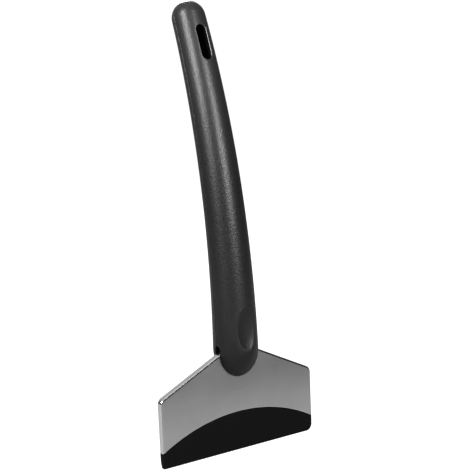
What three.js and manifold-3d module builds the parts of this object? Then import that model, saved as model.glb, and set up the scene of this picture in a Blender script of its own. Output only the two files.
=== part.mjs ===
// A windshield ice scraper: a bent two-shell plastic handle clamped on the tang of a metal-finished
// head plate, with a black plastic blade on the plate's lower edge.
// Millimetres. X is the head's width, the front faces -Y and Z runs up the handle. The origin is on
// the scraping edge, at the middle of the width and a little behind the front face.

import * as THREE from 'three';
import { mergeVertices } from 'three/addons/utils/BufferGeometryUtils.js';
import Module from 'manifold-3d';

const wasm = await Module();
wasm.setup();

// Fits
const gap = 0.3;                  // between pieces that touch
const margin = 1;                 // by which a cutter runs past what it cuts

// Head: plate and blade together
const headWidth = 97;
const sideHeight = 36;            // straight part of each side
const shoulderHeight = 54.2;      // where a shoulder runs into the handle
const shoulderHalfWidth = 10.7;
const cornerRadius = 4;
const pointedCornerRadius = 0.8;  // the lower left corner, which gets into tight places
const headThickness = 3.7;
const taperTop = 38;              // the back face slopes in gently below this height
const bevelTop = 3.5;             // and steeply below this one
const bevelThickness = 3.3;
const edgeThickness = 2.2;        // at the scraping edge
const frontFace = -0.65;
const backFace = frontFace + headThickness;

// Joint between the plate and the blade: an arc with a hidden rib under it
const arcMiddle = 21.3;           // height of the arc above the edge, at the middle
const arcEnd = 8.3;               // and at the sides
const arcRise = arcMiddle - arcEnd;
const arcRadius = (arcRise ** 2 + (headWidth / 2) ** 2) / (2 * arcRise);
const ribDepth = 4.5;
const ribHalfWidth = 28;
const ribThickness = 0.8;
const ribFront = 0.1;
const ribPeg = { radius: 1.3, depth: 2.4, spacing: 14, count: 4 };

// Tang: the plate's tail, inside the handle
const tangWidth = 15;
const tangTop = 90;
const tangCorner = 3;

// Handle, measured along its own centre line
const axisY = 1.4;                // the centre line, just behind the plate's middle
const bendStart = 57;
const bendTop = 234;              // centre of the round end
const bendAngle = 20.9 * Math.PI / 180;
const bendRadius = (bendTop - bendStart) / bendAngle;
const lowRadius = 12.1;
const topRadius = 9.15;
const domeCentre = 55.7;          // the rounded lower end starts here
const domeHeight = 15.7;
const wall = 2.6;
const chambers = [[100, 139], [153, 187]];
const pegStations = [95.5, 230.5]; // of the pegs that locate one shell in the other
const shellPeg = { radius: 1.5, length: 3 };

// Slit that takes the plate, open at both sides of the handle
const slitWidth = headThickness + 2 * gap;
const slitTop = 58.8;

// Thumb rest and hang slot
const thumbRest = { station: 67.3, halfWidth: 9.1, halfLength: 12.7, depth: 2.1, reach: 4.2 };
const hangSlot = { station: 216.85, width: 5.8, length: 19.3 };

// Screws, put in from the back
const screwStations = {
  lower_tang_screw: 66,
  upper_tang_screw: 84,
  middle_screw: 146,
  end_screw: 196.5,
};
const screw = { shank: 1.45, head: 2.8, headHeight: 2, length: 12, tip: 1.6, recess: 1.1 };
const screwSeat = axisY + 5.6;

// Facets
const aroundHandle = 48;
const handleSteps = 16;
const domeSteps = 8;
const aroundHole = 20;

const materials = {
  handle: new THREE.MeshStandardMaterial({ color: 0x2b2b2c, roughness: 0.5, metalness: 0 }),
  plate: new THREE.MeshStandardMaterial({ color: 0x9a9b9c, roughness: 0.35, metalness: 1 }),
  blade: new THREE.MeshStandardMaterial({ color: 0x161617, roughness: 0.6, metalness: 0 }),
  screw: new THREE.MeshStandardMaterial({ color: 0x8a8c90, roughness: 0.3, metalness: 1 }),
};

// ---- solids -------------------------------------------------------------------------------------

// A three.js geometry as a solid that can be joined and cut.
function solid(geometry) {
  const bare = geometry.index ? geometry.toNonIndexed() : geometry.clone();
  bare.deleteAttribute('normal');
  bare.deleteAttribute('uv');
  const merged = mergeVertices(bare, 1e-4);
  return new wasm.Manifold(new wasm.Mesh({
    numProp: 3,
    vertProperties: new Float32Array(merged.attributes.position.array),
    triVerts: new Uint32Array(merged.index.array),
  }));
}

// A named mesh from a solid.
function piece(name, body, material) {
  const result = body.getMesh();
  const geometry = new THREE.BufferGeometry();
  geometry.setAttribute('position', new THREE.BufferAttribute(new Float32Array(result.vertProperties), 3));
  geometry.setIndex(new THREE.BufferAttribute(new Uint32Array(result.triVerts), 1));
  geometry.computeVertexNormals();
  const mesh = new THREE.Mesh(geometry, material);
  mesh.name = name;
  return mesh;
}

function box(xMin, xMax, yMin, yMax, zMin, zMax, steps = 1) {
  const geometry = new THREE.BoxGeometry(xMax - xMin, yMax - yMin, zMax - zMin, 1, 1, steps);
  geometry.translate((xMin + xMax) / 2, (yMin + yMax) / 2, (zMin + zMax) / 2);
  return geometry;
}

// An outline drawn in X and Z, given a thickness along Y.
function slab(shape, yMin, yMax, curveSegments = 24) {
  const geometry = new THREE.ExtrudeGeometry(shape, { depth: yMax - yMin, bevelEnabled: false, curveSegments });
  geometry.rotateX(Math.PI / 2);
  geometry.translate(0, yMax, 0);
  return geometry;
}

// A round bar along Y.
function bar(radius, yMin, yMax) {
  const geometry = new THREE.CylinderGeometry(radius, radius, yMax - yMin, aroundHole);
  geometry.translate(0, (yMin + yMax) / 2, 0);
  return geometry;
}

// ---- the bend -----------------------------------------------------------------------------------

function leanAt(station) {
  return Math.min(Math.max(station - bendStart, 0), bendTop - bendStart) / bendRadius;
}

// Where a point of the straight handle lies once the handle is bent back along its arc.
function bendPoint(point) {
  const lean = leanAt(point.z);
  const beyond = point.z - bendStart - lean * bendRadius;
  const offset = point.y - axisY;
  return point.set(
    point.x,
    axisY + bendRadius * (1 - Math.cos(lean)) + offset * Math.cos(lean) + beyond * Math.sin(lean),
    bendStart + bendRadius * Math.sin(lean) - offset * Math.sin(lean) + beyond * Math.cos(lean),
  );
}

// Bends a geometry of the straight handle, vertex by vertex.
function bent(geometry) {
  const place = geometry.attributes.position;
  const point = new THREE.Vector3();
  for (let i = 0; i < place.count; i += 1) {
    bendPoint(point.fromBufferAttribute(place, i));
    place.setXYZ(i, point.x, point.y, point.z);
  }
  return geometry;
}

// Carries something small and stiff, made about z = 0, to its station along the bent handle.
function atStation(geometry, station) {
  const place = bendPoint(new THREE.Vector3(0, axisY, station));
  geometry.translate(0, -axisY, 0);
  geometry.rotateX(-leanAt(station));
  geometry.translate(place.x, place.y, place.z);
  return geometry;
}

// ---- head ---------------------------------------------------------------------------------------

// Adds a corner rounded to the given radius to an outline, between the points before and after it.
function roundCorner(shape, before, corner, after, radius) {
  const toBefore = before.clone().sub(corner).normalize();
  const toAfter = after.clone().sub(corner).normalize();
  const halfAngle = Math.acos(toBefore.dot(toAfter)) / 2;
  const reach = radius / Math.tan(halfAngle);
  const middle = toBefore.clone().add(toAfter).normalize();
  const centre = corner.clone().addScaledVector(middle, radius / Math.sin(halfAngle));
  const start = corner.clone().addScaledVector(toBefore, reach).sub(centre);
  const end = corner.clone().addScaledVector(toAfter, reach).sub(centre);
  shape.absarc(centre.x, centre.y, radius, start.angle(), end.angle(), false);
}

// The outline of plate, tang and blade, seen from the front, anticlockwise.
function headOutline() {
  const side = headWidth / 2;
  const tangSide = tangWidth / 2;
  const slope = (shoulderHeight - sideHeight) / (side - shoulderHalfWidth);
  const tangFoot = shoulderHeight + slope * (shoulderHalfWidth - tangSide);
  const points = [
    [new THREE.Vector2(-side, 0), pointedCornerRadius],
    [new THREE.Vector2(side, 0), cornerRadius],
    [new THREE.Vector2(side, sideHeight), cornerRadius],
    [new THREE.Vector2(tangSide, tangFoot), 0],
    [new THREE.Vector2(tangSide, tangTop), tangCorner],
    [new THREE.Vector2(-tangSide, tangTop), tangCorner],
    [new THREE.Vector2(-tangSide, tangFoot), 0],
    [new THREE.Vector2(-side, sideHeight), cornerRadius],
  ];
  const shape = new THREE.Shape();
  points.forEach(([corner, radius], i) => {
    const before = points[(i + points.length - 1) % points.length][0];
    const after = points[(i + 1) % points.length][0];
    if (radius > 0) {
      roundCorner(shape, before, corner, after, radius);
    } else {
      shape.lineTo(corner.x, corner.y);
    }
  });
  return shape;
}

// The head from the side: flat front, back face sloping in to a bevelled edge, drawn in Y and Z.
function wedge() {
  const shape = new THREE.Shape();
  shape.moveTo(frontFace, 0);
  shape.lineTo(frontFace + edgeThickness, 0);
  shape.lineTo(frontFace + bevelThickness, bevelTop);
  shape.lineTo(backFace, taperTop);
  shape.lineTo(backFace, tangTop + margin);
  shape.lineTo(frontFace, tangTop + margin);
  const geometry = new THREE.ExtrudeGeometry(shape, { depth: headWidth + 2 * margin, bevelEnabled: false });
  geometry.rotateY(Math.PI / 2);
  geometry.rotateX(Math.PI / 2);
  geometry.translate(-headWidth / 2 - margin, 0, 0);
  return geometry;
}

// Everything under an arc of the given radius about the joint's centre, across the given half width.
function underArc(radius, halfWidth, yMin, yMax) {
  const centre = arcMiddle - arcRadius;
  const reach = Math.asin(halfWidth / radius);
  const shape = new THREE.Shape();
  shape.moveTo(-halfWidth, -margin);
  shape.lineTo(halfWidth, -margin);
  shape.absarc(0, centre, radius, Math.PI / 2 - reach, Math.PI / 2 + reach, false);
  return slab(shape, yMin, yMax, 32);
}

// The rib that holds the blade: a strip that follows the arc down from it, thinner than the wedge.
function rib(clearance) {
  const yMin = ribFront - clearance;
  const yMax = ribFront + ribThickness + clearance;
  const half = ribHalfWidth + clearance;
  const upper = solid(underArc(arcRadius + margin, half, yMin, yMax));
  const lower = solid(underArc(arcRadius - ribDepth - clearance, half + margin, yMin - margin, yMax + margin));
  return upper.subtract(lower);
}

// The blade's pegs, which pass through the rib; wider, they are the rib's holes.
function ribPegs(radius) {
  const along = arcRadius - ribPeg.depth;
  let all = null;
  for (let i = 0; i < ribPeg.count; i += 1) {
    const x = (i - (ribPeg.count - 1) / 2) * ribPeg.spacing;
    const z = arcMiddle - arcRadius + Math.sqrt(along ** 2 - x ** 2);
    const geometry = bar(radius, frontFace - margin, backFace + margin);
    geometry.translate(x, 0, z);
    all = all ? all.add(solid(geometry)) : solid(geometry);
  }
  return all;
}

function head() {
  return solid(slab(headOutline(), frontFace - margin, backFace + margin, 8)).intersect(solid(wedge()));
}

function headPlate() {
  const side = headWidth / 2 + margin;
  const lower = solid(underArc(arcRadius + gap / 2, side, frontFace - 2 * margin, backFace + 2 * margin));
  let plate = head().subtract(lower).add(rib(0).intersect(head())).subtract(ribPegs(ribPeg.radius + gap));
  for (const station of [screwStations.lower_tang_screw, screwStations.upper_tang_screw]) {
    const hole = bar(screw.shank + gap, frontFace - margin, backFace + margin);
    hole.translate(0, 0, station);
    plate = plate.subtract(solid(hole));
  }
  return piece('head_plate', plate, materials.plate);
}

function scraperBlade() {
  const side = headWidth / 2 + margin;
  const under = solid(underArc(arcRadius - gap / 2, side, frontFace - 2 * margin, backFace + 2 * margin));
  const crescent = head().intersect(under);
  const pegs = ribPegs(ribPeg.radius).intersect(crescent);
  return piece('scraper_blade', crescent.subtract(rib(gap)).add(pegs), materials.blade);
}

// ---- handle -------------------------------------------------------------------------------------

function handleRadius(station) {
  return lowRadius + (topRadius - lowRadius) * (station - domeCentre) / (bendTop - domeCentre);
}

// The handle's outer form, turned straight: rounded foot, long taper, round end.
function outerForm() {
  const profile = [];
  for (let i = 0; i <= domeSteps; i += 1) {
    const angle = Math.PI / 2 * i / domeSteps;
    profile.push(new THREE.Vector2(lowRadius * Math.sin(angle), domeCentre - domeHeight * Math.cos(angle)));
  }
  for (let i = 1; i <= handleSteps; i += 1) {
    const station = domeCentre + (bendTop - domeCentre) * i / handleSteps;
    profile.push(new THREE.Vector2(handleRadius(station), station));
  }
  for (let i = 1; i <= domeSteps; i += 1) {
    const angle = Math.PI / 2 * i / domeSteps;
    profile.push(new THREE.Vector2(topRadius * Math.cos(angle), bendTop + topRadius * Math.sin(angle)));
  }
  profile[0].x = 0;
  profile[profile.length - 1].x = 0;
  return turned(profile);
}

// The hollow of one chamber, between the handle's solid cross walls.
function chamber([low, high]) {
  const steps = 4;
  const profile = [new THREE.Vector2(0, low)];
  for (let i = 0; i <= steps; i += 1) {
    const station = low + (high - low) * i / steps;
    profile.push(new THREE.Vector2(handleRadius(station) - wall, station));
  }
  profile.push(new THREE.Vector2(0, high));
  return turned(profile);
}

// A profile turned about the straight handle's centre line, then bent.
function turned(profile) {
  const geometry = new THREE.LatheGeometry(profile, aroundHandle);
  geometry.rotateX(Math.PI / 2);
  geometry.translate(0, axisY, 0);
  return solid(bent(geometry));
}

// One side of the curved surface where the shells meet: everything in front of it, or behind it.
function halfSpace(side) {
  const reach = 4 * lowRadius;
  const start = axisY + side * gap / 2;
  const end = axisY + side * reach;
  const low = domeCentre - domeHeight - margin;
  const high = bendTop + topRadius + margin;
  const steps = 2 * handleSteps;
  return solid(bent(box(-reach, reach, Math.min(start, end), Math.max(start, end), low, high, steps)));
}

// The slit for the plate: as wide as the plate is thick, with a round top, right through sideways.
function plateSlit() {
  const radius = slitWidth / 2;
  const middle = (frontFace + backFace) / 2;
  const shape = new THREE.Shape();
  shape.moveTo(middle - radius, 0);
  shape.lineTo(middle + radius, 0);
  shape.absarc(middle, slitTop - radius, radius, 0, Math.PI, false);
  const depth = 4 * lowRadius;
  const geometry = new THREE.ExtrudeGeometry(shape, { depth, bevelEnabled: false, curveSegments: 8 });
  geometry.rotateY(Math.PI / 2);
  geometry.rotateX(Math.PI / 2);
  geometry.translate(-depth / 2, 0, 0);
  return solid(geometry);
}

function tangPocket() {
  const side = tangWidth / 2 + gap;
  return solid(box(-side, side, frontFace - gap, backFace + gap, taperTop, tangTop + gap));
}

function thumbHollow() {
  const geometry = new THREE.SphereGeometry(1, 32, 20);
  geometry.scale(thumbRest.halfWidth, thumbRest.reach, thumbRest.halfLength);
  const surface = axisY - handleRadius(thumbRest.station);
  geometry.translate(0, surface + thumbRest.depth - thumbRest.reach, 0);
  return solid(atStation(geometry, thumbRest.station));
}

function hangHole() {
  const radius = hangSlot.width / 2;
  const straight = hangSlot.length / 2 - radius;
  const shape = new THREE.Shape();
  shape.absarc(0, straight, radius, 0, Math.PI, false);
  shape.absarc(0, -straight, radius, Math.PI, 2 * Math.PI, false);
  const reach = 2 * lowRadius;
  return solid(atStation(slab(shape, -reach, reach, 10), hangSlot.station));
}

// Screw holes: a pilot hole in the front shell, a clearance hole and a counterbore in the back one.
function screwHole(station) {
  const shank = screw.shank + gap;
  const tip = screwSeat - screw.length - gap;
  const pilot = solid(atStation(bar(shank, tip, screwSeat + margin), station));
  const counterbore = solid(atStation(bar(screw.head + gap, screwSeat, 2 * lowRadius), station));
  return pilot.add(counterbore);
}

// The front shell's pegs, which locate the back shell; wider and longer, they are its sockets.
function shellPegs(radius, length) {
  const bars = pegStations.map((station) => solid(atStation(bar(radius, axisY - margin, axisY + length), station)));
  return bars[0].add(bars[1]);
}

function hollowed(form) {
  let body = form.subtract(plateSlit()).subtract(tangPocket()).subtract(hangHole());
  for (const span of chambers) {
    body = body.subtract(chamber(span));
  }
  for (const station of Object.values(screwStations)) {
    body = body.subtract(screwHole(station));
  }
  return body;
}

function handleFrontShell() {
  const body = hollowed(outerForm().intersect(halfSpace(-1))).subtract(thumbHollow());
  return piece('handle_front_shell', body.add(shellPegs(shellPeg.radius, shellPeg.length)), materials.handle);
}

function handleBackShell() {
  const body = hollowed(outerForm().intersect(halfSpace(1)));
  const sockets = shellPegs(shellPeg.radius + gap, shellPeg.length + gap);
  return piece('handle_back_shell', body.subtract(sockets), materials.handle);
}

// ---- screws -------------------------------------------------------------------------------------

// A self-tapping pan-head screw with a cross recess, head towards +Y, seated a hair off its seat.
function crossScrew(name, station) {
  const seat = screwSeat + gap / 2;
  const tip = screwSeat - screw.length;
  const top = seat + screw.headHeight;
  const profile = [
    new THREE.Vector2(0, tip),
    new THREE.Vector2(screw.shank, tip + screw.tip),
    new THREE.Vector2(screw.shank, seat),
    new THREE.Vector2(screw.head, seat),
    new THREE.Vector2(screw.head, seat + screw.headHeight * 0.45),
    new THREE.Vector2(screw.head * 0.8, seat + screw.headHeight * 0.85),
    new THREE.Vector2(screw.head * 0.4, top),
    new THREE.Vector2(0, top),
  ];
  const body = solid(atStation(new THREE.LatheGeometry(profile, aroundHole), station));
  const arm = screw.head * 0.6;
  const half = 0.45;
  const across = solid(atStation(box(-arm, arm, top - screw.recess, top + margin, -half, half), station));
  const along = solid(atStation(box(-half, half, top - screw.recess, top + margin, -arm, arm), station));
  return piece(name, body.subtract(across.add(along)), materials.screw);
}

const scraper = new THREE.Group();
scraper.add(handleFrontShell());
scraper.add(handleBackShell());
scraper.add(headPlate());
scraper.add(scraperBlade());
for (const [name, station] of Object.entries(screwStations)) {
  scraper.add(crossScrew(name, station));
}

export default scraper;
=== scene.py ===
import math
import bmesh
import bpy
from mathutils import Matrix, Vector


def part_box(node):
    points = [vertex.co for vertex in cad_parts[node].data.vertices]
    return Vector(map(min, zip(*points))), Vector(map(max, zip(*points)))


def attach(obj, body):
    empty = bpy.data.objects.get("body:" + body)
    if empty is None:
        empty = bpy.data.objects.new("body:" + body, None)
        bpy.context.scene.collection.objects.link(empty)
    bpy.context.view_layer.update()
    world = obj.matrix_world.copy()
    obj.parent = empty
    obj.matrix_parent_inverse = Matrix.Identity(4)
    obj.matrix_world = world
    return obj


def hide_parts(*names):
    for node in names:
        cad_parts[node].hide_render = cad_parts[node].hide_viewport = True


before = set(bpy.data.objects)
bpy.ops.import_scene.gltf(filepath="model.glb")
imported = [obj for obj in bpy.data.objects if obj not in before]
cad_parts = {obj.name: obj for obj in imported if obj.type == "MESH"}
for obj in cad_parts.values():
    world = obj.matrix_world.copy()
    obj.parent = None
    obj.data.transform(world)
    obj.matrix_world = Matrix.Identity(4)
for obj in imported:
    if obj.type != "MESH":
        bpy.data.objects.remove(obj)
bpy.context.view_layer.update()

mm = 0.001


class Signal:
    # a shader value that takes part in sums: every operator adds one Math node
    def __init__(self, shader, socket):
        self.shader = shader
        self.socket = socket

    def maths(self, operation, first, second):
        return self.shader.node("ShaderNodeMath", {"operation": operation}, {0: first, 1: second})

    def __add__(self, other):
        return self.maths("ADD", self, other)

    def __radd__(self, other):
        return self.maths("ADD", other, self)

    def __sub__(self, other):
        return self.maths("SUBTRACT", self, other)

    def __rsub__(self, other):
        return self.maths("SUBTRACT", other, self)

    def __mul__(self, other):
        return self.maths("MULTIPLY", self, other)

    def __pow__(self, other):
        return self.maths("POWER", self, other)


class Shader:
    def __init__(self, name, owner=None):
        self.owner = owner or bpy.data.materials.new(name)
        self.owner.use_nodes = True
        self.tree = self.owner.node_tree
        self.tree.nodes.clear()

    def node(self, kind, settings=None, inputs=None, output=0):
        made = self.tree.nodes.new(kind)
        for key, value in (settings or {}).items():
            setattr(made, key, value)
        for key, value in (inputs or {}).items():
            if isinstance(value, Signal):
                self.tree.links.new(value.socket, made.inputs[key])
            else:
                made.inputs[key].default_value = value
        return None if output is None else Signal(self, made.outputs[output])

    def noise(self, place, scale, detail=2.0, roughness=0.5):
        sockets = {"Vector": place, "Scale": scale, "Detail": detail, "Roughness": roughness}
        return self.node("ShaderNodeTexNoise", {}, sockets)

    def place(self, stretch=(1, 1, 1)):
        spot = self.node("ShaderNodeTexCoord", {}, {}, "Object")
        if stretch == (1, 1, 1):
            return spot
        return self.vector("MULTIPLY", spot, stretch)

    def vector(self, operation, first, second, output=0):
        return self.node("ShaderNodeVectorMath", {"operation": operation}, {0: first, 1: second}, output)

    def length(self, way):
        return self.node("ShaderNodeVectorMath", {"operation": "LENGTH"}, {0: way}, "Value")

    def along(self, axis, way):
        return self.node("ShaderNodeSeparateXYZ", {}, {0: way}, axis)

    def blendColors(self, factor, first, second):
        settings = {"data_type": "RGBA"}
        return self.node("ShaderNodeMix", settings, {0: factor, 6: first, 7: second}, 2)

    # 0 at the first value and 1 at the second, whichever is larger
    def fade(self, value, start, end):
        settings = {"interpolation_type": "SMOOTHSTEP"}
        return self.node("ShaderNodeMapRange", settings, {0: value, 1: start, 2: end})

    def bump(self, height, strength, distance):
        return self.node("ShaderNodeBump", {}, {"Height": height, "Strength": strength, "Distance": distance})

    def surface(self, inputs):
        shader = self.node("ShaderNodeBsdfPrincipled", {}, inputs)
        self.node("ShaderNodeOutputMaterial", {"target": "ALL"}, {"Surface": shader}, None)
        return self.owner


def grey(value):
    return (value, value, value, 1)


# Handle: made straight, as x, an offset behind the centre line and a station along it, then bent.
handle = {
    "axisY": 1.4 * mm,            # where the centre line meets the head
    "bendStart": 57 * mm,
    "bendTop": 234 * mm,          # centre of the round end
    "bendAngle": math.radians(20.9),
    "lowRadius": 12.1 * mm,
    "topRadius": 9.145 * mm,
    "domeCentre": 55.7 * mm,      # the rounded foot starts here
    "domeHeight": 15.7 * mm,
    "wall": 2.6 * mm,
    "chambers": [(100 * mm, 139 * mm), (153 * mm, 187 * mm)],
    "seam": 0.04 * mm,            # half the gap between the shells
    "edgeRound": 0.4 * mm,
    "tongue": 0.5 * mm,           # inside its rim the seam steps back by this, so nothing shows through
    "tongueRim": 1.3 * mm,
    "columns": 120,               # across the outside of one shell
    "innerColumns": 82,
    "edgeSteps": 4,
    "footRows": 30,
    "slitRows": 14,
    "endRows": 26,
    # rows in between: from, to and spacing, in mm, closer together where there is a hole
    "rows": [
        (58.9, 90, 0.4),
        (90, 141, 1.5),
        (141, 151, 0.5),
        (151, 191, 1.5),
        (191, 229, 0.5),
        (229, 234, 1),
    ],
}
slit = {
    "top": 58.4 * mm,
    "radius": 2.15 * mm,
    "frontClearance": 0.55 * mm,
    "backClearance": 0.1 * mm,
}
tang = {"halfWidth": 7.8 * mm, "top": 90.3 * mm}
thumbRest = {
    "station": 67.3 * mm,
    "halfWidth": 9.1 * mm,
    "halfLength": 12.7 * mm,
    "reach": 4.2 * mm,
    "depth": 2.1 * mm,
    "rimSoftness": 0.5 * mm,
}
hangSlot = {"station": 216.85 * mm, "radius": 2.9 * mm, "straight": 6.75 * mm, "rim": 0.65 * mm}
screw = {
    "stations": {
        "lower_tang_screw": 66 * mm,
        "upper_tang_screw": 84 * mm,
        "middle_screw": 146 * mm,
        "end_screw": 196.5 * mm,
    },
    "seat": 5.6 * mm,             # behind the centre line
    "length": 12 * mm,
    "shank": 1.45 * mm,
    "head": 2.8 * mm,
    "headHeight": 2 * mm,
    "hole": 1.75 * mm,
    "counterbore": 3.1 * mm,
    "pitch": 1.3 * mm,
    "thread": 0.32 * mm,
    "plain": 1.2 * mm,            # unthreaded under the head
    "neck": 0.3 * mm,             # where the unthreaded part widens
    "crestSharpness": 3.2,
    "headSide": 0.55,             # how much of the head's height is straight
    "taper": 2.4 * mm,
    "point": 0.15 * mm,
    "edge": 0.15 * mm,
    "around": 64,
    "rowsPerTurn": 16,
    "headRows": 8,
}

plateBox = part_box("head_plate")
head = {
    "front": plateBox[0][1],
    "back": plateBox[1][1],
    "side": plateBox[1][0],
    "sideHeight": 36 * mm,
    "shoulderHeight": 54.2 * mm,
    "shoulderHalfWidth": 10.7 * mm,
    "corner": 4 * mm,
    "pointedCorner": 0.8 * mm,    # the blade's left one
    "tangHalfWidth": 7.5 * mm,
    "taper": [(0, 2.2 * mm), (3.5 * mm, 3.3 * mm), (38 * mm, 3.7 * mm)],
    "arcMiddle": 21.3 * mm,
    "arcEnd": 8.3 * mm,
    "joint": 0.015 * mm,          # half the gap between plate and blade
    "cornerSteps": 12,
    "edgeSteps": 30,              # from a corner of the blade to its middle
    "shoulderCornerSteps": 10,
    "shoulderSteps": 24,
    "round": 1.1 * mm,            # of the front edges
    "backRound": 0.25,            # of the back ones, as a share of that
}


bendRadius = (handle["bendTop"] - handle["bendStart"]) / handle["bendAngle"]


def leanAt(station):
    along = min(max(station - handle["bendStart"], 0), handle["bendTop"] - handle["bendStart"])
    return along / bendRadius


# Where a point of the straight handle lies once the handle is bent.
def bendPoint(x, offset, station):
    lean = leanAt(station)
    beyond = station - handle["bendStart"] - lean * bendRadius
    behind = bendRadius * (1 - math.cos(lean)) + offset * math.cos(lean) + beyond * math.sin(lean)
    above = (bendRadius - offset) * math.sin(lean) + beyond * math.cos(lean)
    return Vector((x, handle["axisY"] + behind, handle["bendStart"] + above))


def handleRadius(station):
    low, top = handle["domeCentre"], handle["bendTop"]
    if station < low:
        return handle["lowRadius"] * math.sqrt(max(0, 1 - ((low - station) / handle["domeHeight"]) ** 2))
    if station > top:
        return math.sqrt(max(0, handle["topRadius"] ** 2 - (station - top) ** 2))
    share = (station - low) / (top - low)
    return handle["lowRadius"] + (handle["topRadius"] - handle["lowRadius"]) * share


# The larger of two values, with the change from one to the other rounded.
def softMax(a, b, softness):
    blend = max(softness - abs(a - b), 0) / softness
    return max(a, b) + blend * blend * softness / 4


# The offset of the front shell's skin at a point, with the thumb rest sunk into it.
def withThumbRest(x, offset, station):
    along = (station - thumbRest["station"]) / thumbRest["halfLength"]
    inside = 1 - (x / thumbRest["halfWidth"]) ** 2 - along ** 2
    if inside <= 0:
        return offset
    surface = -handleRadius(thumbRest["station"])
    hollow = surface + thumbRest["depth"] + thumbRest["reach"] * (math.sqrt(inside) - 1)
    return softMax(offset, hollow, thumbRest["rimSoftness"])


# Distance from the centre line to a shell's inner face: the seam, and the plate's slit below it.
def faceOffset(side, station):
    if side < 0:
        opening = handle["axisY"] - head["front"] + slit["frontClearance"]
    else:
        opening = head["back"] - handle["axisY"] + slit["backClearance"]
    centre = slit["top"] - slit["radius"]
    if station >= slit["top"]:
        return handle["seam"]
    if station <= centre:
        return opening
    share = (station - centre) / slit["radius"]
    return max(handle["seam"], opening * math.sqrt(1 - share * share))


# The inner face with the tang's pocket and the hollow chambers sunk into it.
def innerOffset(side, x, station):
    if station < slit["top"]:
        return side * faceOffset(side, station if abs(x) > tang["halfWidth"] else 0)
    if abs(x) < tang["halfWidth"] and station < tang["top"]:
        return side * faceOffset(side, 0)
    offset = handle["seam"]
    for low, high in handle["chambers"]:
        room = handleRadius(station) - handle["wall"]
        if low < station < high and abs(x) < room:
            offset = max(offset, math.sqrt(room * room - x * x))
    step = handle["tongue"] if abs(x) < handleRadius(station) - handle["tongueRim"] else 0
    return side * offset + step


def outerOffset(side, x, station):
    radius = handleRadius(station)
    offset = side * math.sqrt(max(0, radius * radius - x * x))
    return withThumbRest(x, offset, station) if side < 0 else offset


# Stations of a shell's rows: the foot, the slit's round top, the grip and the round end.
def stationList(side):
    foot, slitRows, end = handle["footRows"], handle["slitRows"], handle["endRows"]
    # the first and the last row stop just short of the point where a shell would end
    steep = math.acos((faceOffset(side, 0) + 0.02 * mm) / handle["lowRadius"])
    turns = [steep * (1 - i / foot) ** 0.8 for i in range(foot)]
    stations = [handle["domeCentre"] - handle["domeHeight"] * math.sin(turn) for turn in turns]
    stations += [handle["domeCentre"], handle["domeCentre"] + 0.5 * mm]
    centre = slit["top"] - slit["radius"]
    for i in range(slitRows + 1):
        stations.append(centre + slit["radius"] * math.sin(math.pi / 2 * i / slitRows))
    for low, high, spacing in handle["rows"]:
        count = round((high - low) / spacing)
        stations += [(low + (high - low) * i / count) * mm for i in range(count)]
    last = math.acos(0.004)
    stations += [handle["bendTop"] + handle["topRadius"] * math.sin(last * i / end) for i in range(end + 1)]
    return stations


# One cross-section of a shell: outside from left to right, round the edge, inner face back again.
def shellSection(side, station):
    radius = handleRadius(station)
    face = faceOffset(side, station)
    soft = min(handle["edgeRound"], 0.5 * max(radius - face, 0))
    widest = math.sqrt(max(0, radius ** 2 - (face + soft) ** 2))
    corner = math.sqrt(max(0, radius ** 2 - face ** 2))
    inner = max(corner - soft, 0)
    reach = math.asin(min(1, widest / radius))
    points = []
    for j in range(handle["columns"] + 1):
        angle = reach * (2 * j / handle["columns"] - 1)
        x = radius * math.sin(angle)
        points.append((x, outerOffset(side, x, station)))
    rim = []
    for j in range(1, handle["edgeSteps"]):
        t = j / handle["edgeSteps"]
        x = widest * (1 - t) ** 2 + corner * 2 * t * (1 - t) + inner * t * t
        y = (face + soft) * (1 - t) ** 2 + face * (2 * t * (1 - t) + t * t)
        rim.append((x, side * y))
    points += rim
    for j in range(handle["innerColumns"] + 1):
        x = inner * (1 - 2 * j / handle["innerColumns"])
        points.append((x, innerOffset(side, x, station)))
    points += [(-x, y) for x, y in reversed(rim)]
    return points


# The corners of a window of cells, in order round it.
def windowLoop(rowLow, rowHigh, columnLow, columnHigh):
    loop = [(rowLow, c) for c in range(columnLow, columnHigh)]
    loop += [(r, columnHigh) for r in range(rowLow, rowHigh)]
    loop += [(rowHigh, c) for c in range(columnHigh, columnLow, -1)]
    loop += [(r, columnLow) for r in range(rowHigh, rowLow, -1)]
    return loop


# The nearest station on the straight line along a hole's middle, and the way from there to a point.
def fromSpine(point, hole):
    along = point[2] - hole["station"]
    spine = min(max(along, -hole["straight"]), hole["straight"])
    return hole["station"] + spine, Vector((point[0], along - spine))


# The point moved straight out or in until it is a given distance from the hole's middle line.
def ringPoint(point, hole, radius):
    spine, away = fromSpine(point, hole)
    away.normalize()
    return away.x * radius, spine + away.y * radius


# The patch of mesh round a hole: how far it reaches past the rim, and its rings and rim steps.
holeBorder = {"along": 1.1 * mm, "across": 0.9 * mm, "rings": (0.3, 0.65, 1), "rimSteps": 5}

# The shells' materials, by their place on the piece.
finishNumber = {"grain": 0, "rim": 1, "inside": 2}


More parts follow.
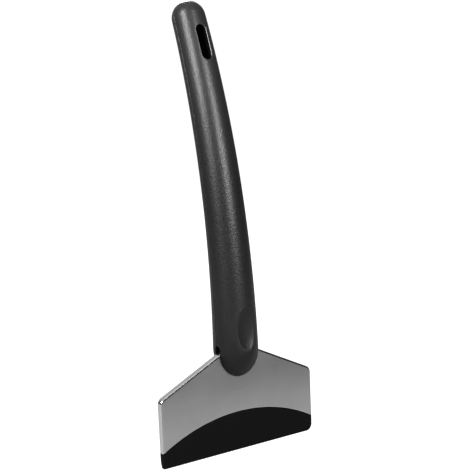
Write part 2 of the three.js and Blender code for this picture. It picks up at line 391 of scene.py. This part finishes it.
# A shell lofted through its sections. Round each hole the cells are cut out of the outer and the
# inner face, rings of mesh close in on its rim, and a wall joins the two.
def addShell(name, side, holes, materials):
    rows = stationList(side)
    flat = [[(x, offset, station) for x, offset in shellSection(side, station)] for station in rows]
    width = len(flat[0])
    points = [point for row in flat for point in row]
    index = [[i * width + j for j in range(width)] for i in range(len(rows))]
    innerStart = handle["columns"] + handle["edgeSteps"]
    middles = {"outer": handle["columns"] // 2, "inner": innerStart + handle["innerColumns"] // 2}
    removed = set()
    faces = []
    finishes = {}

    def strip(first, second, finish=finishNumber["grain"]):
        count = len(first)
        for k in range(count):
            after = (k + 1) % count
            finishes[len(faces)] = finish
            faces.append((first[k], first[after], second[after], second[k]))

    def ring(loop, hole, radius, offsetAt):
        made = []
        for vertex in loop:
            x, station = ringPoint(points[vertex], hole, radius)
            points.append((x, offsetAt(x, station), station))
            made.append(len(points) - 1)
        return made

    for hole in holes:
        reach = hole["straight"] + hole["wide"] + holeBorder["along"]
        rowLow = min(range(len(rows)), key=lambda i: abs(rows[i] - hole["station"] + reach))
        rowHigh = min(range(len(rows)), key=lambda i: abs(rows[i] - hole["station"] - reach))
        cell = math.pi * handleRadius(hole["station"]) / handle["columns"]
        half = math.ceil((hole["wide"] + holeBorder["across"]) / cell)
        ends = {}
        for layer, offsetAt in (("outer", outerOffset), ("inner", innerOffset)):
            if layer == "outer" and hole.get("blind"):
                continue
            middle = middles[layer]
            for i in range(rowLow, rowHigh):
                removed.update((i, j) for j in range(middle - half, middle + half))
            corners = windowLoop(rowLow, rowHigh, middle - half, middle + half)
            if layer == "inner":
                # the inner face is numbered from right to left, so its border is read the other way
                corners = [(i, 2 * middle - j) for i, j in corners]
            border = [index[i][j] for i, j in corners]
            rimRadius = hole["wide"] if layer == "outer" else hole["narrow"]
            distances = [fromSpine(points[vertex], hole)[1].length for vertex in border]
            last = border
            for share in holeBorder["rings"]:
                made = []
                for vertex, distance in zip(border, distances):
                    radius = distance + (rimRadius - distance) * share
                    x, station = ringPoint(points[vertex], hole, radius)
                    points.append((x, offsetAt(side, x, station), station))
                    made.append(len(points) - 1)
                strip(last, made)
                last = made
            ends[layer] = (border, last)
        if hole.get("blind"):
            border, last = ends["inner"]
            bottom = ring(border, hole, hole["narrow"], lambda x, station: side * hole["blind"])
            strip(last, bottom)
            faces.append(tuple(bottom))
            continue
        border, last = ends["outer"]
        rim = hole["wide"] - hole["bore"]
        for step in range(1, holeBorder["rimSteps"] + 1):
            turn = math.pi / 2 * step / holeBorder["rimSteps"]
            radius = hole["bore"] + rim * (1 - math.sin(turn))
            drop = rim * (1 - math.cos(turn))
            made = ring(border, hole, radius, lambda x, station: outerOffset(side, x, station) - side * drop)
            strip(last, made, finishNumber[hole["rimFinish"]])
            last = made
        for radius, offset in hole["steps"]:
            made = ring(border, hole, radius, lambda x, station: side * offset)
            strip(last, made, finishNumber["inside"])
            last = made
        strip(last, ends["inner"][1], finishNumber["inside"])

    for i in range(len(rows) - 1):
        for j in range(width):
            if (i, j) not in removed:
                after = (j + 1) % width
                if innerStart <= j < innerStart + handle["innerColumns"]:
                    finishes[len(faces)] = finishNumber["inside"]
                faces.append((index[i][j], index[i][after], index[i + 1][after], index[i + 1][j]))
    faces.append(tuple(index[0]))
    faces.append(tuple(reversed(index[-1])))
    return finishPiece(name, [bendPoint(*point) for point in points], faces, materials, 32, finishes)


# A mesh piece. Finishes numbers the material of each face that doesn't have the first one.
def finishPiece(name, points, faces, materials, sharpDegrees, finishes=None):
    shape = bmesh.new()
    corners = [shape.verts.new(point) for point in points]
    for number, face in enumerate(faces):
        if len(set(face)) > 2:
            made = shape.faces.new([corners[i] for i in face])
            made.material_index = (finishes or {}).get(number, 0)
    bmesh.ops.remove_doubles(shape, verts=shape.verts, dist=0.0008 * mm)
    bmesh.ops.dissolve_degenerate(shape, edges=shape.edges, dist=0.0005 * mm)
    loose = [corner for corner in shape.verts if not corner.link_faces]
    bmesh.ops.delete(shape, geom=loose, context="VERTS")
    bmesh.ops.recalc_face_normals(shape, faces=shape.faces)
    for face in shape.faces:
        face.smooth = True
    mesh = bpy.data.meshes.new(name)
    shape.to_mesh(mesh)
    shape.free()
    mesh.set_sharp_from_angle(angle=math.radians(sharpDegrees))
    for material in materials:
        mesh.materials.append(material)
    piece = bpy.data.objects.new(name, mesh)
    bpy.context.scene.collection.objects.link(piece)
    return piece


arcRise = head["arcMiddle"] - head["arcEnd"]
arcRadius = (arcRise ** 2 + head["side"] ** 2) / (2 * arcRise)


# Height of the joint between plate and blade.
def arcHeight(x):
    return head["arcMiddle"] - arcRadius + math.sqrt(arcRadius ** 2 - x * x)


def thickness(z):
    stops = head["taper"]
    for (low, thin), (high, thick) in zip(stops, stops[1:]):
        if z <= high:
            return thin + (thick - thin) * max(z - low, 0) / (high - low)
    return stops[-1][1]


def roundAt(z):
    return min(head["round"], 0.3 * thickness(z))


# Lower and upper outline of the plate, drawn in by a share of the edge rounding.
def plateOutline(share):
    side, corner = head["side"], head["corner"]
    slope = math.atan2(head["shoulderHeight"] - head["sideHeight"], side - head["shoulderHalfWidth"])
    out = Vector((math.sin(slope), math.cos(slope)))
    centreX = side - corner
    centreZ = head["sideHeight"] + (out.x * corner - corner) / out.y
    inset = share * head["round"]
    upper = []
    for i in range(head["shoulderCornerSteps"] + 1):
        turn = (math.pi / 2 - slope) * i / head["shoulderCornerSteps"]
        radius = corner - inset
        upper.append((centreX + radius * math.cos(turn), centreZ + radius * math.sin(turn)))
    line = out.x * side + out.y * head["sideHeight"] - inset
    start, foot = upper[-1][0], head["tangHalfWidth"] + 0.4 * mm
    for i in range(1, head["shoulderSteps"] + 1):
        x = start + (foot - start) * i / head["shoulderSteps"]
        upper.append((x, (line - out.x * x) / out.y))
    for x, z in ((7.5, 88), (6.6, 89.6), (5, 90), (3, 90), (1, 90)):
        upper.append((x * mm - inset / 10, z * mm - inset))
    upper += [(-x, z) for x, z in reversed(upper)]
    lower = [(x, arcHeight(x) + head["joint"]) for x, z in upper]
    return lower, upper


# The blade's lower edge from one side to the middle, round a corner of the given radius.
def lowerEdge(corner, share):
    points = []
    for i in range(head["cornerSteps"] + 1):
        turn = math.pi / 2 * i / head["cornerSteps"]
        radius = corner - share * roundAt(corner * (1 - math.sin(turn)))
        points.append((head["side"] - corner + radius * math.cos(turn), corner - radius * math.sin(turn)))
    start, floor = points[-1]
    count = head["edgeSteps"]
    return points + [(start * (1 - i / count), floor) for i in range(1, count + 1)]


def bladeOutline(share):
    right, left = lowerEdge(head["corner"], share), lowerEdge(head["pointedCorner"], share)
    lower = right + [(-x, z) for x, z in reversed(left[:-1])]
    upper = [(x, arcHeight(x) - head["joint"]) for x, z in lower]
    return lower, upper


# A wedge-shaped slab between two outlines, with its outer edges rounded front and back.
def addWedge(name, outline, material):
    # rows of a face, closer together near its edges, and steps round an edge
    shares = [0, 0.012, 0.04, 0.12, 0.22, 0.34, 0.46, 0.58, 0.7, 0.8, 0.9, 0.96, 0.99, 1]
    turns = 7

    def sheet(share):
        lower, upper = outline(share)
        return [[(x, z0 + (z1 - z0) * part) for (x, z0), (_, z1) in zip(lower, upper)] for part in shares]

    def border(grid):
        loop = list(grid[0]) + [row[-1] for row in grid[1:]]
        loop += list(reversed(grid[-1]))[1:] + [row[0] for row in reversed(grid[1:-1])]
        return loop

    points, faces = [], []

    def addLoop(loop, depthAt):
        start = len(points)
        points.extend((x, depthAt(z), z) for x, z in loop)
        return list(range(start, start + len(loop)))

    def addFace(depthAt, share):
        grid = sheet(share)
        start = len(points)
        width = len(grid[0])
        for row in grid:
            points.extend((x, depthAt(z), z) for x, z in row)
        for i in range(len(grid) - 1):
            for j in range(width - 1):
                a = start + i * width + j
                faces.append((a, a + 1, a + width + 1, a + width))
        numbered = [[start + i * width + j for j in range(width)] for i in range(len(grid))]
        return border(numbered)

    def join(first, second):
        for k in range(len(first)):
            after = (k + 1) % len(first)
            faces.append((first[k], first[after], second[after], second[k]))

    def frontAt(z):
        return head["front"]

    def backAt(z):
        return head["front"] + thickness(z)

    last = addFace(frontAt, 1)
    for step in range(1, turns + 1):
        turn = math.pi / 2 * step / turns
        loop = border(sheet(1 - math.sin(turn)))
        made = addLoop(loop, lambda z: frontAt(z) + roundAt(z) * (1 - math.cos(turn)))
        join(last, made)
        last = made
    back = head["backRound"]
    for step in range(turns, -1, -1):
        turn = math.pi / 2 * step / turns
        if step:
            loop = border(sheet(back * (1 - math.sin(turn))))
            made = addLoop(loop, lambda z: backAt(z) - back * roundAt(z) * (1 - math.cos(turn)))
        else:
            made = addFace(backAt, back)
        join(last, made)
        last = made
    return finishPiece(name, points, faces, [material], 40)


# A pan-head screw turned about its own line, with a rolled thread and a cross recess.
def addScrew(name, station, material):
    around = screw["around"]
    seat, top = screw["seat"] + 0.05 * mm, screw["seat"] + screw["headHeight"]
    tip = screw["seat"] - screw["length"]
    core = screw["shank"] - screw["thread"]
    threadTop = seat - screw["plain"]
    profile = []
    count = int((threadTop - tip) / screw["pitch"] * screw["rowsPerTurn"])
    for i in range(count + 1):
        along = tip + (threadTop - tip) * i / count
        taper = min(1, (along - tip) / screw["taper"])
        profile.append((screw["point"] + (core - screw["point"]) * taper, along, taper))
    profile.append((core, seat - screw["neck"], 0))
    profile.append((screw["shank"], seat, 0))
    profile.append((screw["head"] - screw["edge"], seat, 0))
    profile.append((screw["head"], seat + screw["edge"], 0))
    rim = seat + screw["headSide"] * screw["headHeight"]
    for i in range(screw["headRows"] + 1):
        turn = math.pi / 2 * i / screw["headRows"]
        radius = screw["head"] * (0.55 + 0.45 * math.cos(turn))
        profile.append((radius, rim + (top - rim) * math.sin(turn), 0))
    points, faces = [], []
    for radius, along, crest in profile:
        for k in range(around):
            angle = 2 * math.pi * k / around
            phase = (along / screw["pitch"] - k / around) % 1
            ridge = max(0, 1 - abs(phase - 0.5) * screw["crestSharpness"]) * screw["thread"] * crest
            points.append(((radius + ridge) * math.cos(angle), along, (radius + ridge) * math.sin(angle)))
    for i in range(len(profile) - 1):
        for k in range(around):
            after = (k + 1) % around
            faces.append((i * around + k, i * around + after, (i + 1) * around + after, (i + 1) * around + k))
    faces.append(tuple(range(around)))
    faces.append(tuple(reversed(range(len(points) - around, len(points)))))
    centre = bendPoint(0, 0, station)
    turnIt = Matrix.Rotation(-leanAt(station), 3, "X")
    piece = finishPiece(name, [centre + turnIt @ Vector(point) for point in points], faces, [material], 35)
    cutter = addCross(centre, turnIt, top, material)
    carve(piece, cutter)
    return piece


# A cross that tapers inwards, to be cut out of a screw's head.
def addCross(centre, turnIt, top, material):
    arm, half, deep, rise = 1.75 * mm, 0.42 * mm, 1.15 * mm, 0.6 * mm
    plan = []
    for quarter in range(4):
        turn = math.pi / 2 * quarter
        for x, z in ((arm, -half), (arm, half), (half, half)):
            plan.append((x * math.cos(turn) - z * math.sin(turn), x * math.sin(turn) + z * math.cos(turn)))
    points = []
    for scale, along in ((0.45, top - deep), (1, top + rise)):
        points += [(x * scale, along, z * scale) for x, z in plan]
    size = len(plan)
    faces = [(k, (k + 1) % size, (k + 1) % size + size, k + size) for k in range(size)]
    faces += [tuple(range(size)), tuple(reversed(range(size, 2 * size)))]
    return finishPiece("crossCutter", [centre + turnIt @ Vector(p) for p in points], faces, [material], 30)


def carve(piece, cutter):
    cut = piece.modifiers.new("recess", "BOOLEAN")
    cut.operation = "DIFFERENCE"
    cut.solver = "EXACT"
    cut.object = cutter
    bpy.context.view_layer.update()
    evaluated = piece.evaluated_get(bpy.context.evaluated_depsgraph_get())
    carved = bpy.data.meshes.new_from_object(evaluated)
    piece.modifiers.clear()
    piece.data = carved
    carved.set_sharp_from_angle(angle=math.radians(35))
    bpy.data.objects.remove(cutter)


handleFinish = {
    "color": 0.003,
    "paleColor": 0.0075,
    "roughness": 0.375,
    "thumbRoughness": 0.07,       # more than elsewhere
    "grainScale": 1050,
    "fineScale": 2600,
    "grainDepth": 0.165 * mm,
    "foot": (85 * mm, 45 * mm),   # painted shade: it gets darker from the first height down to the second
    "grip": (125 * mm, 220 * mm),  # and paler from the first height up to the second
    "gripColor": 0.012,
}


# Moulded grain, duller in the thumb rest, darker towards the foot as painted shade, and paler higher up.
def handlePlastic():
    shader = Shader("moulded_black_grain")
    spot = shader.place()
    grain = shader.noise(spot, handleFinish["grainScale"], 2.5, 0.55)
    fine = shader.noise(spot, handleFinish["fineScale"], 2, 0.6)
    cloud = shader.noise(spot, 55, 3, 0.6)
    rub = shader.fade(cloud, 0.52, 0.72)
    height = shader.along("Z", spot)
    fromThumb = shader.vector("SUBTRACT", spot, (0, 0, thumbRest["station"]))
    restSize = (1 / thumbRest["halfWidth"], 0, 1 / thumbRest["halfLength"])
    away = shader.length(shader.vector("MULTIPLY", fromThumb, restSize))
    thumb = shader.fade(away, 1.02, 0.92) * shader.fade(shader.along("Y", spot), -2 * mm, -5 * mm)
    # painted shade: the colour darkens towards the foot
    foot = shader.fade(height, *handleFinish["foot"])
    tone = grain * 0.6 + cloud * 0.4 - foot * 0.6
    base = shader.blendColors(tone, grey(handleFinish["color"]), grey(handleFinish["paleColor"]))
    grip = shader.fade(height, *handleFinish["grip"]) * (grain * 0.5 + 0.75)
    color = shader.blendColors(grip, base, grey(handleFinish["gripColor"]))
    texture = (grain - 0.5) * 0.22 + (fine - 0.5) * 0.1 - rub * 0.02
    roughness = texture + thumb * handleFinish["thumbRoughness"] + handleFinish["roughness"]
    normal = shader.bump(grain * 0.7 + fine * 0.3, 1.0, handleFinish["grainDepth"])
    return shader.surface({
        "Base Color": color,
        "Roughness": roughness,
        "Specular IOR Level": 0.25,
        "Normal": normal,
    })


# The rounded rim of the hang slot, polished by what the scraper hangs on.
def rimPlastic():
    shader = Shader("polished_black_rim")
    fine = shader.noise(shader.place(), 2600, 2, 0.6)
    return shader.surface({
        "Base Color": shader.blendColors(fine, grey(0.006), grey(0.014)),
        "Roughness": fine * 0.1 + 0.27,
        "Specular IOR Level": 0.6,
        "Normal": shader.bump(fine, 0.5, 0.03 * mm),
    })


# Inside faces and hole walls, dull, with a near-black colour that is painted shade.
def innerPlastic():
    shader = Shader("dull_black_inside_painted_shade")
    fine = shader.noise(shader.place(), 1800, 2, 0.6)
    return shader.surface({
        # painted shade: the colour is near black in the holes and on the faces between the shells
        "Base Color": shader.blendColors(fine, grey(0.0005), grey(0.0015)),
        "Roughness": fine * 0.15 + 0.7,
        "Specular IOR Level": 0.03,
        "Normal": shader.bump(fine, 0.4, 0.02 * mm),
    })


plateFinish = {
    "dark": 0.222,
    "light": 0.465,
    # paler colour of the polished edges: painted highlight
    "edge": 0.72,
    # near-black colour on the edge rounding beside the face: painted dark reflection
    "paintedDarkReflection": 0.012,
    "paintedDarkReflectionRoughness": 0.5,       # more than beside it
    "paintedLipHighlight": 0.62,
    "faceRoughness": 0.3,
    "edgeRoughness": 0.16,
    "paintedFloorReflection": (46 * mm, 12 * mm),   # painted reflection of the floor: the face gets paler from the first height down to the second
}


# A brushed face that is paler towards the blade as a painted reflection of the floor, with polished edges
# round it whose paler colour is painted highlight, a painted dark reflection where the face turns into a
# shoulder, and a painted highlight line beside the blade.
def satinMetal():
    shader = Shader("satin_brushed_metal")
    spot = shader.place()
    brushing = shader.noise(shader.place((60, 900, 5200)), 1, 3, 0.65)
    broad = shader.noise(shader.place((9, 40, 420)), 1, 3, 0.6)
    haze = shader.noise(spot, 38, 3, 0.55)
    lines = brushing * 0.5 + broad * 0.5
    facing = shader.node("ShaderNodeTexCoord", {}, {}, "Normal")
    flat = shader.along("Y", facing) ** 2
    upward = shader.along("Z", facing)
    # the edges facing sideways: polished with lower roughness, and paler in colour as painted highlight
    edge = shader.fade(flat, 0.75, 0.15)
    # painted dark reflection: a near-black band on the edge rounding beside the face, where it turns into a
    # shoulder
    paintedDarkReflection = shader.fade(flat, 0.998, 0.98) * shader.fade(flat, 0.58, 0.7) * shader.fade(upward, 0.04, 0.14)
    fromCentre = shader.vector("SUBTRACT", spot, (0, 0, head["arcMiddle"] - arcRadius))
    fromArc = shader.length(shader.vector("MULTIPLY", fromCentre, (1, 0, 1))) - arcRadius
    # painted highlight: a bright line on the face just above the blade
    paintedLipHighlight = shader.fade(fromArc, 0.4 * mm, 0.15 * mm) * 0.6
    # painted reflection of the floor: the face's colour gets paler towards the blade
    rub = shader.fade(shader.along("Z", spot), *plateFinish["paintedFloorReflection"])
    tone = rub * 0.7 + lines * 0.1 + haze * 0.34 - 0.07
    face = shader.blendColors(tone, grey(plateFinish["dark"]), grey(plateFinish["light"]))
    faceWithLipHighlight = shader.blendColors(paintedLipHighlight, face, grey(plateFinish["paintedLipHighlight"]))
    withPaintedEdgeHighlight = shader.blendColors(edge, faceWithLipHighlight, grey(plateFinish["edge"]))
    color = shader.blendColors(paintedDarkReflection, withPaintedEdgeHighlight, grey(plateFinish["paintedDarkReflection"]))
    rough = plateFinish["faceRoughness"] + (lines - 0.5) * 0.12 + (haze - 0.5) * 0.1
    polished = rough + edge * (plateFinish["edgeRoughness"] - rough)
    roughness = polished + paintedDarkReflection * plateFinish["paintedDarkReflectionRoughness"]
    normal = shader.bump(lines, 0.15, 0.01 * mm)
    return shader.surface({"Base Color": color, "Metallic": 1.0, "Roughness": roughness, "Normal": normal})


bladeFinish = {"color": 0.0012, "paleColor": 0.0028, "roughness": 0.55}


def bladePlastic():
    shader = Shader("matt_black_edge")
    place = shader.place()
    fine = shader.noise(place, 2600, 3, 0.6)
    scuff = shader.noise(shader.place((300, 300, 40)), 1, 4, 0.7)
    tone = fine * 0.6 + scuff * 0.4
    color = shader.blendColors(tone, grey(bladeFinish["color"]), grey(bladeFinish["paleColor"]))
    roughness = bladeFinish["roughness"] + (fine - 0.5) * 0.2 + (scuff - 0.5) * 0.15
    normal = shader.bump(fine, 0.3, 0.006 * mm)
    return shader.surface({
        "Base Color": color,
        "Roughness": roughness,
        "Specular IOR Level": 0.045,
        "Normal": normal,
    })


def zincSteel():
    shader = Shader("zinc_plated_steel")
    place = shader.place()
    cloud = shader.noise(place, 900, 3, 0.6)
    fine = shader.noise(place, 6000, 2, 0.5)
    color = shader.blendColors(cloud, (0.42, 0.43, 0.44, 1), (0.6, 0.6, 0.58, 1))
    normal = shader.bump(fine, 0.2, 0.004 * mm)
    return shader.surface({
        "Base Color": color,
        "Metallic": 1.0,
        "Roughness": 0.22 + cloud * 0.2,
        "Normal": normal,
    })


def paleFloor():
    shader = Shader("pale_floor")
    cloud = shader.noise(shader.place(), 3, 3, 0.5)
    color = shader.blendColors(cloud, grey(0.19), grey(0.21))
    seen = shader.node("ShaderNodeLightPath", {}, {}, "Is Camera Ray")
    glow = shader.blendColors(seen, grey(0.12), grey(0.96))
    return shader.surface({
        "Base Color": color,
        "Roughness": 0.8,
        "Specular IOR Level": 0.1,
        "Emission Color": glow,
        "Emission Strength": 1,
    })


# The direction at an azimuth from the front, towards the right, and at an elevation, in degrees.
def wayTo(azimuth, elevation):
    across, up = math.radians(azimuth), math.radians(elevation)
    return Vector((math.sin(across) * math.cos(up), -math.cos(across) * math.cos(up), math.sin(up)))


camera = {
    "azimuth": -34.175,
    "elevation": 7.905,
    "roll": math.radians(-2.322),
    "distance": 541.5 * mm,
    "aim": Vector((1.563 * mm, 0, 115.95 * mm)),
    "lens": 79.19,
}


def addCamera():
    away = wayTo(camera["azimuth"], camera["elevation"])
    data = bpy.data.cameras.new("camera")
    data.lens = camera["lens"]
    data.sensor_width = 36
    data.clip_start = 0.01
    data.clip_end = 50
    eye = bpy.data.objects.new("camera", data)
    look = (-away).to_track_quat("-Z", "Y").to_matrix() @ Matrix.Rotation(camera["roll"], 3, "Z")
    eye.matrix_world = Matrix.Translation(camera["aim"] + away * camera["distance"]) @ look.to_4x4()
    bpy.context.scene.collection.objects.link(eye)
    bpy.context.scene.camera = eye


studio = {
    "room": 0.1,
    "glows": [
        # azimuth, elevation, inner and outer half angle, strength
        (164, 32, 18, 50, 0.4),
        (0, 90, 10, 26, 0.95),
    ],
    "lamps": [
        # name, azimuth, elevation, distance, width, height, power
        ("left_strip", -76, 34, 1.2, 0.23, 0.5, 33),
        ("front_strip", 3, 26, 1.4, 0.2, 0.6, 33),
        ("back_strip", 152, 24, 1.4, 0.2, 0.6, 8),
    ],
}


def addLamp(name, azimuth, elevation, distance, width, height, power):
    away = wayTo(azimuth, elevation)
    data = bpy.data.lights.new(name, "AREA")
    data.shape = "RECTANGLE"
    data.size = width
    data.size_y = height
    data.energy = power
    lamp = bpy.data.objects.new(name, data)
    aim = Vector((0, 0, 0.14))
    turned = (-away).to_track_quat("-Z", "Y").to_matrix().to_4x4()
    lamp.matrix_world = Matrix.Translation(aim + away * distance) @ turned
    lamp.visible_camera = False
    bpy.context.scene.collection.objects.link(lamp)


# White to the eye. To the object it is a dim room, with a bright wall behind and light overhead.
def addSky():
    world = bpy.data.worlds.new("studio")
    bpy.context.scene.world = world
    shader = Shader("studio", world)
    seen = shader.node("ShaderNodeLightPath", {}, {}, "Is Camera Ray")
    direction = shader.node("ShaderNodeTexCoord", {}, {}, "Generated")
    level = studio["room"]
    for azimuth, elevation, inner, outer, strength in studio["glows"]:
        facing = shader.vector("DOT_PRODUCT", direction, wayTo(azimuth, elevation), "Value")
        glow = shader.fade(facing, math.cos(math.radians(outer)), math.cos(math.radians(inner)))
        level = glow * strength + level
    strength = seen * (1.05 - level) + level
    background = shader.node("ShaderNodeBackground", {}, {"Color": grey(1), "Strength": strength})
    shader.node("ShaderNodeOutputWorld", {}, {"Surface": background}, None)


def addFloor():
    shape = bmesh.new()
    bmesh.ops.create_grid(shape, x_segments=24, y_segments=24, size=4)
    mesh = bpy.data.meshes.new("floor")
    shape.to_mesh(mesh)
    shape.free()
    mesh.materials.append(paleFloor())
    floor = bpy.data.objects.new("floor", mesh)
    floor.location.z = -0.02 * mm
    bpy.context.scene.collection.objects.link(floor)


print("camera, lamps and floor")
addCamera()
for lamp in studio["lamps"]:
    addLamp(*lamp)
addSky()
addFloor()
bpy.context.scene.view_settings.view_transform = "Standard"

print("handle shells")
slotHole = {
    "rimFinish": "rim",
    "station": hangSlot["station"],
    "straight": hangSlot["straight"],
    "wide": hangSlot["radius"] + hangSlot["rim"],
    "bore": hangSlot["radius"],
    "narrow": hangSlot["radius"],
    "steps": [(hangSlot["radius"], 6 * mm), (hangSlot["radius"], 3 * mm)],
}
frontHoles, backHoles = [slotHole], [slotHole]
for station in screw["stations"].values():
    frontHoles.append({
        "station": station,
        "straight": 0,
        "wide": 2.6 * mm,
        "narrow": screw["hole"],
        "blind": screw["length"] - screw["seat"] + 0.4 * mm,
    })
    backHoles.append({
        "rimFinish": "grain",
        "station": station,
        "straight": 0,
        "wide": screw["counterbore"] + 0.35 * mm,
        "bore": screw["counterbore"],
        "narrow": screw["hole"],
        "steps": [(screw["counterbore"], screw["seat"]), (screw["hole"], screw["seat"])],
    })
plastics = [handlePlastic(), rimPlastic(), innerPlastic()]    # in the order of finishNumber
made = {
    "handle_front_shell": addShell("front_shell", -1, frontHoles, plastics),
    "handle_back_shell": addShell("back_shell", 1, backHoles, plastics),
}

print("head")
made["head_plate"] = addWedge("metal_plate", plateOutline, satinMetal())
made["scraper_blade"] = addWedge("black_blade", bladeOutline, bladePlastic())

print("screws")
zinc = zincSteel()
for name, station in screw["stations"].items():
    made[name] = addScrew(name.replace("_screw", "_fixing"), station, zinc)

for node, piece in made.items():
    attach(piece, "root")
    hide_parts(node)
